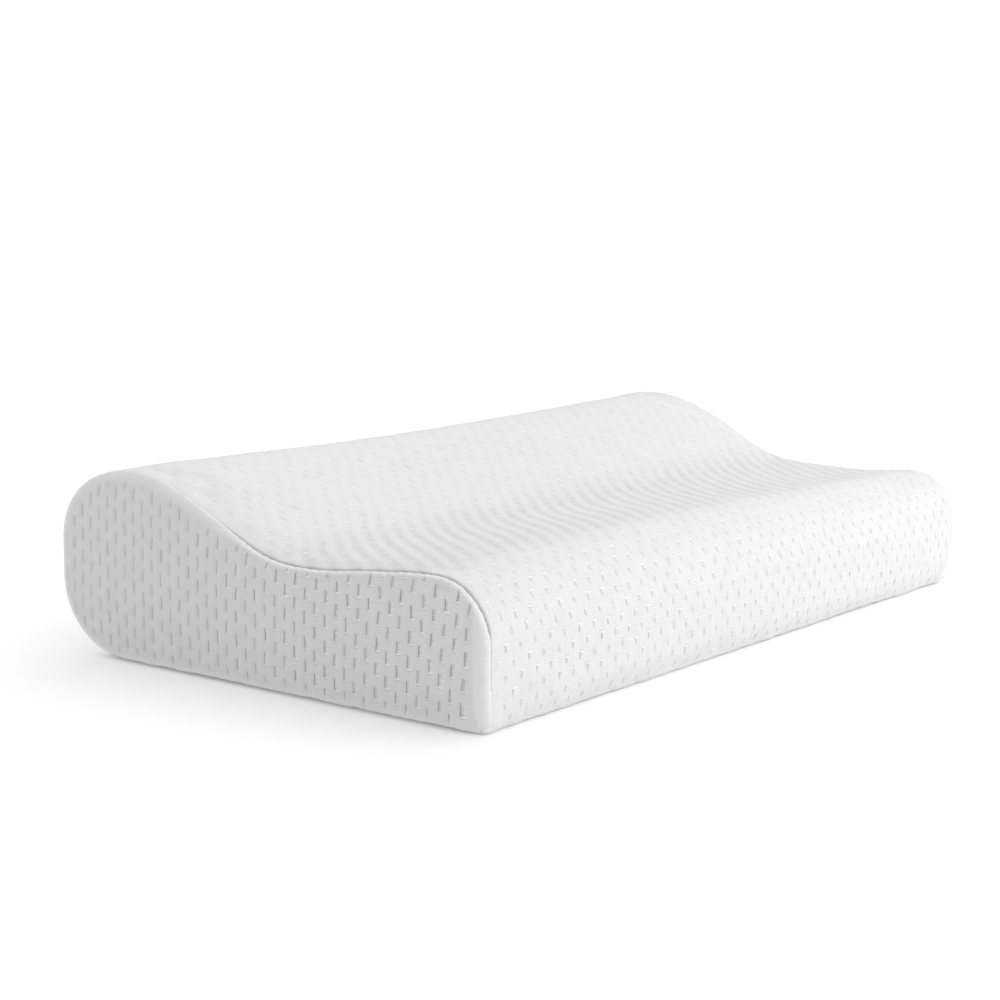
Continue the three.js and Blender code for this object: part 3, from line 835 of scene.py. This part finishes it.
def softened(name, node, width):
    """A copy of a CAD piece with its sharp edges rounded off."""
    piece = copy_of_node(name, node)
    shape = bmesh.new()
    shape.from_mesh(piece.data)
    bmesh.ops.remove_doubles(shape, verts=shape.verts, dist=1e-6)
    bmesh.ops.dissolve_limit(shape, angle_limit=math.radians(1), verts=shape.verts, edges=shape.edges)
    sharp = [e for e in shape.edges if len(e.link_faces) == 2 and e.calc_face_angle(0) > math.radians(28)]
    bmesh.ops.bevel(shape, geom=sharp, offset=width, segments=2, profile=0.6, affect="EDGES",
                    clamp_overlap=True)
    bmesh.ops.triangulate(shape, faces=[f for f in shape.faces if len(f.verts) > 4])
    for face in shape.faces:
        face.smooth = True
    shape.to_mesh(piece.data)
    shape.free()
    piece.data.set_sharp_from_angle(angle=math.radians(50))
    return piece


def care_label():
    """A blank ribbon folded out of the end seam, a little proud of the panel that it lies on."""
    low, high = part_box("care_label")
    R, W = grid(np.linspace(0, LABEL_SIZE[1], 41), np.linspace(low.z, high.z, 15))
    bend = 6.0 * MM
    turn = np.clip(R / (bend * 1.5), 0, 1)
    seam_x = COVER_EDGE_X + 0.7 * MM
    X = seam_x + (high.x - seam_x) * np.sin(turn * math.pi / 2)
    Y = BACK_Y - 2.9 * MM - bend * (1 - np.cos(turn * math.pi / 2)) - np.maximum(R - bend * 1.5, 0)
    curl = smoothstep(14 * MM, LABEL_SIZE[1], R) * (1.1 + 0.5 * np.cos(2 * (W - ZIP_Z) / (9 * MM))) * MM
    ripple = 0.25 * MM * np.sin(R / (5 * MM)) * fade(10, 20, R)
    outer = points_at(X + curl + ripple + 0.5 * MM * turn, Y, W)
    inner = outer - np.array([0.3 * MM, 0, 0])
    return closed_sheet("ribbon_label", outer, inner, points_at(R, W), thinning=2)


# ---- materials
class Value:
    """A number that a node works out; arithmetic on it adds Math nodes."""

    def __init__(self, nodes, socket):
        self.nodes = nodes
        self.socket = socket

    def __add__(self, other):
        return self.nodes.math("ADD", self, other)

    def __sub__(self, other):
        return self.nodes.math("SUBTRACT", self, other)

    def __rsub__(self, other):
        return self.nodes.math("SUBTRACT", other, self)

    def __mul__(self, other):
        return self.nodes.math("MULTIPLY", self, other)

    def __truediv__(self, other):
        return self.nodes.math("DIVIDE", self, other)

    def __abs__(self):
        return self.nodes.math("ABSOLUTE", self)


class Nodes:
    """Short calls for the nodes of one tree."""

    def __init__(self, tree):
        self.tree = tree

    def add(self, kind, output, **inputs):
        """Adds a node with these inputs, named as on the node, and returns one of its outputs."""
        node = self.tree.nodes.new("ShaderNode" + kind)
        for key, value in inputs.items():
            self.join(value, node.inputs[key.replace("_", " ")])
        return Value(self, node.outputs[output])

    def join(self, value, socket):
        if isinstance(value, Value):
            self.tree.links.new(value.socket, socket)
        else:
            socket.default_value = value

    def math(self, operation, a, b=0.0, clamp=False):
        result = self.add("Math", 0)
        node = result.socket.node
        node.operation = operation
        node.use_clamp = clamp
        self.join(a, node.inputs[0])
        self.join(b, node.inputs[1])
        return result

    def fade(self, value, start, stop, interpolation="SMOOTHSTEP"):
        """0 where the value is at start, 1 at stop, and smooth between."""
        result = self.add("MapRange", 0, From_Min=start, From_Max=stop)
        result.socket.node.interpolation_type = interpolation
        self.join(value, result.socket.node.inputs["Value"])
        return result

    def separate(self, vector):
        split = self.tree.nodes.new("ShaderNodeSeparateXYZ")
        self.join(vector, split.inputs[0])
        return [Value(self, output) for output in split.outputs]

    def combine(self, x, y):
        return self.add("CombineXYZ", 0, X=x, Y=y)

    def object_place(self):
        return self.add("TexCoord", "Object")

    def cloth_place(self):
        """The cloth's own two coordinates, in millimetres."""
        uv = self.add("UVMap", 0)
        uv.socket.node.uv_map = "fabric"
        return [part * 100.0 for part in self.separate(uv)[:2]]

    def attribute(self, name):
        result = self.add("Attribute", "Fac")
        result.socket.node.attribute_name = name
        return result

    def noise(self, vector, scale, detail=2.0):
        return self.add("TexNoise", 0, Scale=scale, Detail=detail, Vector=vector)

    def ripple(self, value, repeat):
        """A wave from -1 to 1 with this repeat."""
        return self.math("SINE", value * (2 * math.pi / repeat))


class Material(Nodes):
    """The node tree of a new material, with what is done to its shader."""

    def __init__(self, name, colour, roughness):
        self.material = bpy.data.materials.new(name)
        self.material.use_nodes = True
        super().__init__(self.material.node_tree)
        self.shader = self.tree.nodes["Principled BSDF"]
        self.set(Base_Color=(*colour, 1), Roughness=roughness)

    def set(self, **inputs):
        for key, value in inputs.items():
            self.join(value, self.shader.inputs[key.replace("_", " ")])

    def mix(self, factor, low, high):
        result = self.add("Mix", 2)
        node = result.socket.node
        node.data_type = "RGBA"
        self.join(factor, node.inputs[0])
        self.join(low, node.inputs[6])
        self.join(high, node.inputs[7])
        self.set(Base_Color=result)

    def colour_between(self, factor, low, high):
        self.mix(factor, (*low, 1), (*high, 1))

    def colour_towards(self, factor, high):
        """Mixes the base colour so far towards another one."""
        current = self.shader.inputs["Base Color"].links[0].from_socket
        self.mix(factor, Value(self, current), (*high, 1))

    def bump(self, height, distance, strength=1.0):
        """Height 1 stands this distance out of the surface."""
        self.set(Normal=self.add("Bump", 0, Strength=strength, Distance=distance, Height=height))


# The knit's own white, the colour of its painted shade, and the colour of its painted highlights.
KNIT_WHITE = (0.722, 0.718, 0.726)
KNIT_SHADE = (0.30, 0.30, 0.32)
KNIT_GLINT = (0.98, 0.98, 0.98)
RIB_REPEAT = 1.05
RUNG_REPEAT = 0.8
WALE_REPEAT = 0.62


def knit_material(name, knit, marks):
    """White jacquard: slits with a ladder of rungs beside each, on fine ribs, with the light and shade on
    them painted into the colour. From the cloth's coordinates in millimetres, marks gives how strong the
    painted shade in the slits is, how strong the ladders' painted shade, highlights and relief are, and how
    strong the painted shade is in the hollows round the slits and in the loose cloth's diagonal hollows."""
    pitch, period, half = knit["pitch"] / MM, knit["period"] / MM, knit["slit"] / MM / 2
    n = Material(name, KNIT_WHITE, 0.85)
    u, v = n.cloth_place()
    depth, ladder_shading_and_relief, hollow_shade_strength, slack_shade = marks(n, u, v)
    patterned = n.attribute("patterned")
    column = n.math("ROUND", u / pitch)
    shift = n.math("FLOORED_MODULO", column, 2.0) * 0.5
    row = n.math("ROUND", v / period - shift)
    across = (u - column * pitch) * knit["side"]
    along = v - (row + shift) * period
    chance = n.add("TexWhiteNoise", "Value", Vector=n.combine(column, row))
    window = n.fade(abs(along), half + 0.25, half - 0.15) * patterned
    slit = n.fade(abs(across), 0.55, 0.15) * window
    band = n.fade(across, 0.3, 0.55) * n.fade(across, 2.15, 1.9) * window
    rim = n.fade(abs(across - 1.95), 0.42, 0.1) * window
    below = along + (half + 0.1)
    foot_band = n.fade(across, -0.6, -0.2) * n.fade(across, 2.8, 2.3) * patterned
    foot = n.fade(abs(below), 0.6, 0.2) * foot_band
    under_foot = n.fade(abs(below + 0.7), 0.34, 0.1) * foot_band
    hollow = n.fade(abs(across + 0.4), 2.6, 0.2) * n.fade(abs(along), half + 2.6, half - 1.2)

    patchy = n.noise(n.combine(u * 0.11, v * 0.11), 1.0)
    fibres = n.noise(n.combine(u, v), 2.6, 3.0)
    ribs = n.ripple(v, RIB_REPEAT)
    rungs = n.ripple(v, RUNG_REPEAT)
    wales = n.ripple(u, WALE_REPEAT)
    rib_strength = n.fade(patchy, 0.38, 0.62)
    uneven = chance * (1 - knit["evenness"]) + knit["evenness"]
    diagonal = u / (2 * pitch) + v / period
    line = n.fade(n.ripple(diagonal + 0.25, 1.0), -0.9, 1.0)

    # Painted shade: in the slits, between the ladder's rungs, under each foot and between the ribs, then in
    # the hollows round the slits and along the loose cloth's diagonal hollows.
    painted_shade = slit * uneven + band * n.fade(rungs, 0.2, -0.9) * ladder_shading_and_relief * 0.45
    painted_shade = painted_shade + under_foot * ladder_shading_and_relief * 0.3 + n.fade(ribs, 0.2, -1.0) * rib_strength * 0.06
    painted_hollow_shade = hollow * patterned * hollow_shade_strength * (patchy * 1.2 + 0.4) + (line * 0.65 + 0.35) * slack_shade
    n.colour_between(n.math("ADD", painted_shade * depth, painted_hollow_shade, clamp=True), KNIT_WHITE, KNIT_SHADE)
    # Painted highlights on the ladder's rungs and edge, the ribs and the feet, and along the bare rim by the
    # seams, mixed towards KNIT_GLINT.
    light = band * n.fade(rungs, 0.0, 0.8) * 0.7 + rim * n.fade(rungs, -1.0, 0.6) * 1.1
    light = light + n.fade(ribs, 0.0, 0.9) * rib_strength * patterned * knit["ribs"]
    light = light + foot * n.fade(wales, -1.2, 0.4) * 1.3
    bare = 1.0 - patterned
    n.colour_towards(light * ladder_shading_and_relief * uneven + bare * bare * knit["rim"], KNIT_GLINT)

    height = ribs * (rib_strength + 0.35) * 0.2 + wales * 0.05 + rungs * band * ladder_shading_and_relief * 0.6
    height = height + (rim + foot) * ladder_shading_and_relief * 0.6 + fibres * 0.35
    height = height - slit * depth * 0.7 - under_foot * ladder_shading_and_relief * 0.5
    n.bump(height, 0.22 * MM, 0.8)
    n.set(Sheen_Weight=0.3)
    return n.material


def wrap_marks(n, u, v):
    """The painted marks on the wrap: the slits are drawn open on the front and the back, and their painted
    shade is strong there; on the top they are closed, and the loose cloth gets painted shade in diagonal
    hollows, most over the rise."""
    front = n.fade(v, BROW_S / MM - 12, FRONT_S / MM - 10)
    back = n.fade(v, CREST_S / MM - 25, CREST_S / MM - 60)
    opened = n.math("MAXIMUM", front, back)
    on_rise = n.fade(abs(v - RISE_S / MM), 74, 34)
    slack_shade = on_rise * 0.24 + (1.0 - opened) * 0.04
    return opened * 0.55 + 0.03, 0.9 - opened * 0.1, 0.03, slack_shade


def end_marks(n, u, v):
    """The painted marks on an end panel: the painted shade in the slits and the ladders' painted shade and
    highlights grow stronger towards the front, and the painted shade in the hollows round the slits grows
    stronger towards the back.
    """
    towards_front = n.fade(u, 100, -60)
    return towards_front * 0.45 + 0.5, n.fade(u, 70, -60), 0.13 - towards_front * 0.07, 0.0


def liner_material():
    n = Material("liner_tricot", (0.76, 0.75, 0.72), 0.9)
    u, v = n.cloth_place()
    loops = n.ripple(u, 0.9) * n.ripple(v, 0.7)
    n.colour_between(n.fade(loops, 0.9, -0.6), (0.76, 0.75, 0.72), (0.66, 0.65, 0.62))
    n.bump(loops, 0.08 * MM, 0.7)
    n.set(Sheen_Weight=0.2)
    return n.material


def foam_material():
    n = Material("memory_foam", (0.80, 0.72, 0.55), 0.95)
    place = n.object_place()
    pores = n.add("TexVoronoi", "Distance", Scale=900.0, Vector=place)
    n.colour_between(n.noise(place, 30.0) * 0.8, (0.83, 0.75, 0.57), (0.76, 0.67, 0.49))
    n.bump(pores, 0.25 * MM, 0.8)
    return n.material


def thread_material():
    n = Material("polyester_thread", (0.76, 0.76, 0.77), 0.55)
    twist = n.noise(n.object_place(), 2600.0)
    n.colour_between(twist, (0.80, 0.80, 0.81), (0.66, 0.66, 0.67))
    n.bump(twist, 0.08 * MM, 0.6)
    n.set(Sheen_Weight=0.2)
    return n.material


def tape_material():
    """Herringbone-woven polyester."""
    n = Material("woven_zip_tape", (0.75, 0.75, 0.76), 0.75)
    u, v = n.cloth_place()
    weave = n.ripple(u + n.math("PINGPONG", v, 1.4), 0.62)
    n.colour_between(n.fade(weave, 0.6, -0.9), (0.77, 0.77, 0.78), (0.60, 0.60, 0.61))
    n.bump(weave, 0.1 * MM, 0.8)
    return n.material


def coil_material():
    n = Material("nylon_coil", (0.78, 0.78, 0.79), 0.32)
    n.colour_between(n.noise(n.object_place(), 150.0), (0.80, 0.80, 0.81), (0.73, 0.73, 0.74))
    n.set(Subsurface_Weight=0.15, Subsurface_Radius=(0.002, 0.002, 0.002))
    return n.material


def enamel_material():
    """White baked enamel over zinc, with a faint orange peel."""
    n = Material("white_enamelled_zinc", (0.80, 0.80, 0.81), 0.3)
    place = n.object_place()
    scuffs = n.noise(place, 260.0, 4.0)
    n.colour_between(n.fade(scuffs, 0.45, 0.75), (0.80, 0.80, 0.81), (0.70, 0.70, 0.70))
    n.set(Roughness=scuffs * 0.25 + 0.2, Coat_Weight=0.3)
    n.bump(n.noise(place, 900.0), 0.03 * MM, 0.5)
    return n.material


def ribbon_material():
    """Satin ribbon with a fine warp."""
    n = Material("satin_ribbon", (0.80, 0.80, 0.79), 0.42)
    u, v = n.cloth_place()
    edge = n.fade(abs(v - ZIP_Z / MM), 8.0, 8.6)
    n.colour_between(edge * 0.5, (0.80, 0.80, 0.79), (0.64, 0.64, 0.63))
    n.bump(n.ripple(v, 0.35) + n.ripple(u, 0.5) * 0.3, 0.05 * MM, 0.6)
    n.set(Anisotropic=0.4, Sheen_Weight=0.3, Sheen_Roughness=0.3)
    return n.material


# ---- camera, floor and light
CAMERA_PLACE = (-1.0333, -0.7483, 0.2722)
CAMERA_YAW, CAMERA_PITCH, CAMERA_ROLL = 52.82, 9.07, 0.53
CAMERA_LENS = 77.56

SKY_PANELS = (("Y", -1, 1.40), ("Y", 1, 1.14), ("X", 1, 1.18), ("X", -1, 0.24))
BACKDROP_LIGHT = 1.06
FLOOR_GLOW = 0.12
FLOOR_SPAN = 60.0
KEY_PLACE, KEY_POWER = (0.5, -1.0, 0.35), 3.4
FILL_PLACE, FILL_POWER = (0.6, -0.6, 0.9), 0.9
SOFTBOX_SIZE = 0.8


def add_camera():
    yaw, pitch, roll = (math.radians(angle) for angle in (CAMERA_YAW, CAMERA_PITCH, CAMERA_ROLL))
    facing = Matrix.Rotation(-yaw, 4, "Z") @ Matrix.Rotation(math.pi / 2 - pitch, 4, "X")
    camera = add_piece("camera", bpy.data.cameras.new("camera"))
    camera.data.sensor_width = 36
    camera.data.lens = CAMERA_LENS
    camera.data.clip_start = 0.05
    camera.matrix_world = Matrix.Translation(CAMERA_PLACE) @ facing @ Matrix.Rotation(roll, 4, "Z")
    bpy.context.scene.camera = camera


def add_softbox(name, place, power, unlit):
    """A round softbox that faces the object and leaves out what is in the unlit collection."""
    light = bpy.data.lights.new(name, "AREA")
    light.shape = "DISK"
    light.size = SOFTBOX_SIZE
    light.energy = power
    lamp = add_piece(name, light)
    lamp.location = place
    towards = Vector((0, 0, BACK_HEIGHT / 2)) - Vector(place)
    lamp.rotation_euler = towards.to_track_quat("-Z", "Y").to_euler()
    lamp.light_linking.receiver_collection = unlit


def add_sky():
    """Broad bright panels all round, the strongest in front, and a white backdrop."""
    world = bpy.data.worlds.new("studio")
    bpy.context.scene.world = world
    world.use_nodes = True
    n = Nodes(world.node_tree)
    direction = dict(zip("XYZ", n.separate(n.add("TexCoord", "Generated"))))
    light = 0.0
    for axis, sign, strength in SKY_PANELS:
        light = n.fade(direction[axis], -0.2 * sign, sign, "LINEAR") * strength + light
    light = light * n.fade(direction["Z"], 0.1, 0.35)
    seen = n.add("LightPath", "Is Camera Ray")
    background = n.tree.nodes["Background"]
    n.join(seen * BACKDROP_LIGHT + light * (1.0 - seen), background.inputs["Strength"])
    background.inputs["Color"].default_value = (1, 1, 1, 1)


def floor_material():
    n = Material("pale_floor", (0.98, 0.98, 0.98), 0.9)
    n.set(Emission_Color=(1, 1, 1, 1), Emission_Strength=FLOOR_GLOW, Specular_IOR_Level=0)
    return n.material


def add_floor():
    X, Y = grid([-FLOOR_SPAN, FLOOR_SPAN], [-FLOOR_SPAN, FLOOR_SPAN])
    floor = make_object("floor", points_at(X, Y, 0), [grid_faces(numbered(2, 2), True)])
    floor.location.z = -0.05 * MM
    floor.data.materials.append(floor_material())
    return floor


def add_studio():
    bpy.context.scene.view_settings.view_transform = "Standard"
    add_sky()
    unlit = bpy.data.collections.new("not_lit_by_softboxes")
    unlit.objects.link(add_floor())
    unlit.collection_objects[0].light_linking.link_state = "EXCLUDE"
    add_softbox("key", KEY_PLACE, KEY_POWER, unlit)
    add_softbox("fill", FILL_PLACE, FILL_POWER, unlit)


# ---- assembly
add_camera()
WRAP_GIVE = simulated_wrap_give()
END_GIVE = simulated_end_give()

wrap_cloth = knit_material("wrap_jacquard_knit", WRAP_KNIT, wrap_marks)
end_cloth = knit_material("end_jacquard_knit", END_KNIT, end_marks)
MATERIALS = {
    "liner_fabric": liner_material(),
    "foam": foam_material(),
    "thread": thread_material(),
    "zip_tape": tape_material(),
    "zip_coil": coil_material(),
    "zip_metal": enamel_material(),
    "label_ribbon": ribbon_material(),
}


def place(piece, node, slot, body="pillow", material=None):
    piece.data.materials.append(material or MATERIALS[slot])
    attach(piece, body)
    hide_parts(node)
    return piece


def place_metal(name, edge, body="pillow"):
    place(softened(name, f"zip_{name}", edge * MM), f"zip_{name}", "zip_metal", body)


core = place(foam_core(), "foam_core", "foam")
liner = place(liner_wrap(), "liner_wrap", "liner_fabric")
wrap = place(cover_wrap(), "cover_wrap_panel", "cover_knit", material=wrap_cloth)
label = place(care_label(), "care_label", "label_ribbon")

for word, side in (("left", -1), ("right", 1)):
    lining = place(liner_end(f"inner_liner_{word}_end", side), f"liner_{word}_end", "liner_fabric")
    panel = cover_end(f"cover_{word}_end", side)
    place(panel, f"cover_{word}_end_panel", "cover_knit", material=end_cloth)
    seam = seam_stitches(f"cover_{word}_seam_stitches", side, COVER_EDGE_X, 2.1 * MM, 3.0, 2.7)
    place(seam, f"cover_{word}_seam_thread", "thread")
    liner_depth = LINER_INSET + 1.2 * MM
    seam = seam_stitches(f"inner_liner_{word}_seam_stitches", side, LINER_EDGE_X, liner_depth, 3.4, 2.8)
    place(seam, f"liner_{word}_seam_thread", "thread")
    place(closing_stitches(f"closing_stitches_{word}", side), f"cover_closing_thread_{word}", "thread")
    place(bartack(f"bartack_{word}", side), f"zip_bartack_{word}", "thread")

for word, side in (("upper", 1), ("lower", -1)):
    webbing = place(zip_tape(f"tape_{word}", side), f"zip_tape_{word}", "zip_tape")
    place(zip_coil(f"coil_{word}", side), f"zip_coil_{word}", "zip_coil")
    place(topstitch(f"topstitch_{word}", side), f"zip_topstitch_{word}", "thread")
    place_metal(f"top_stop_{word}", 0.25)
place_metal("bottom_stop", 0.3)
place_metal("slider", 0.22, "slider")
place_metal("pull_tab", 0.25, "pull_tab")
place(liner_closing_stitches(), "liner_closing_seam_thread", "thread")
add_studio()
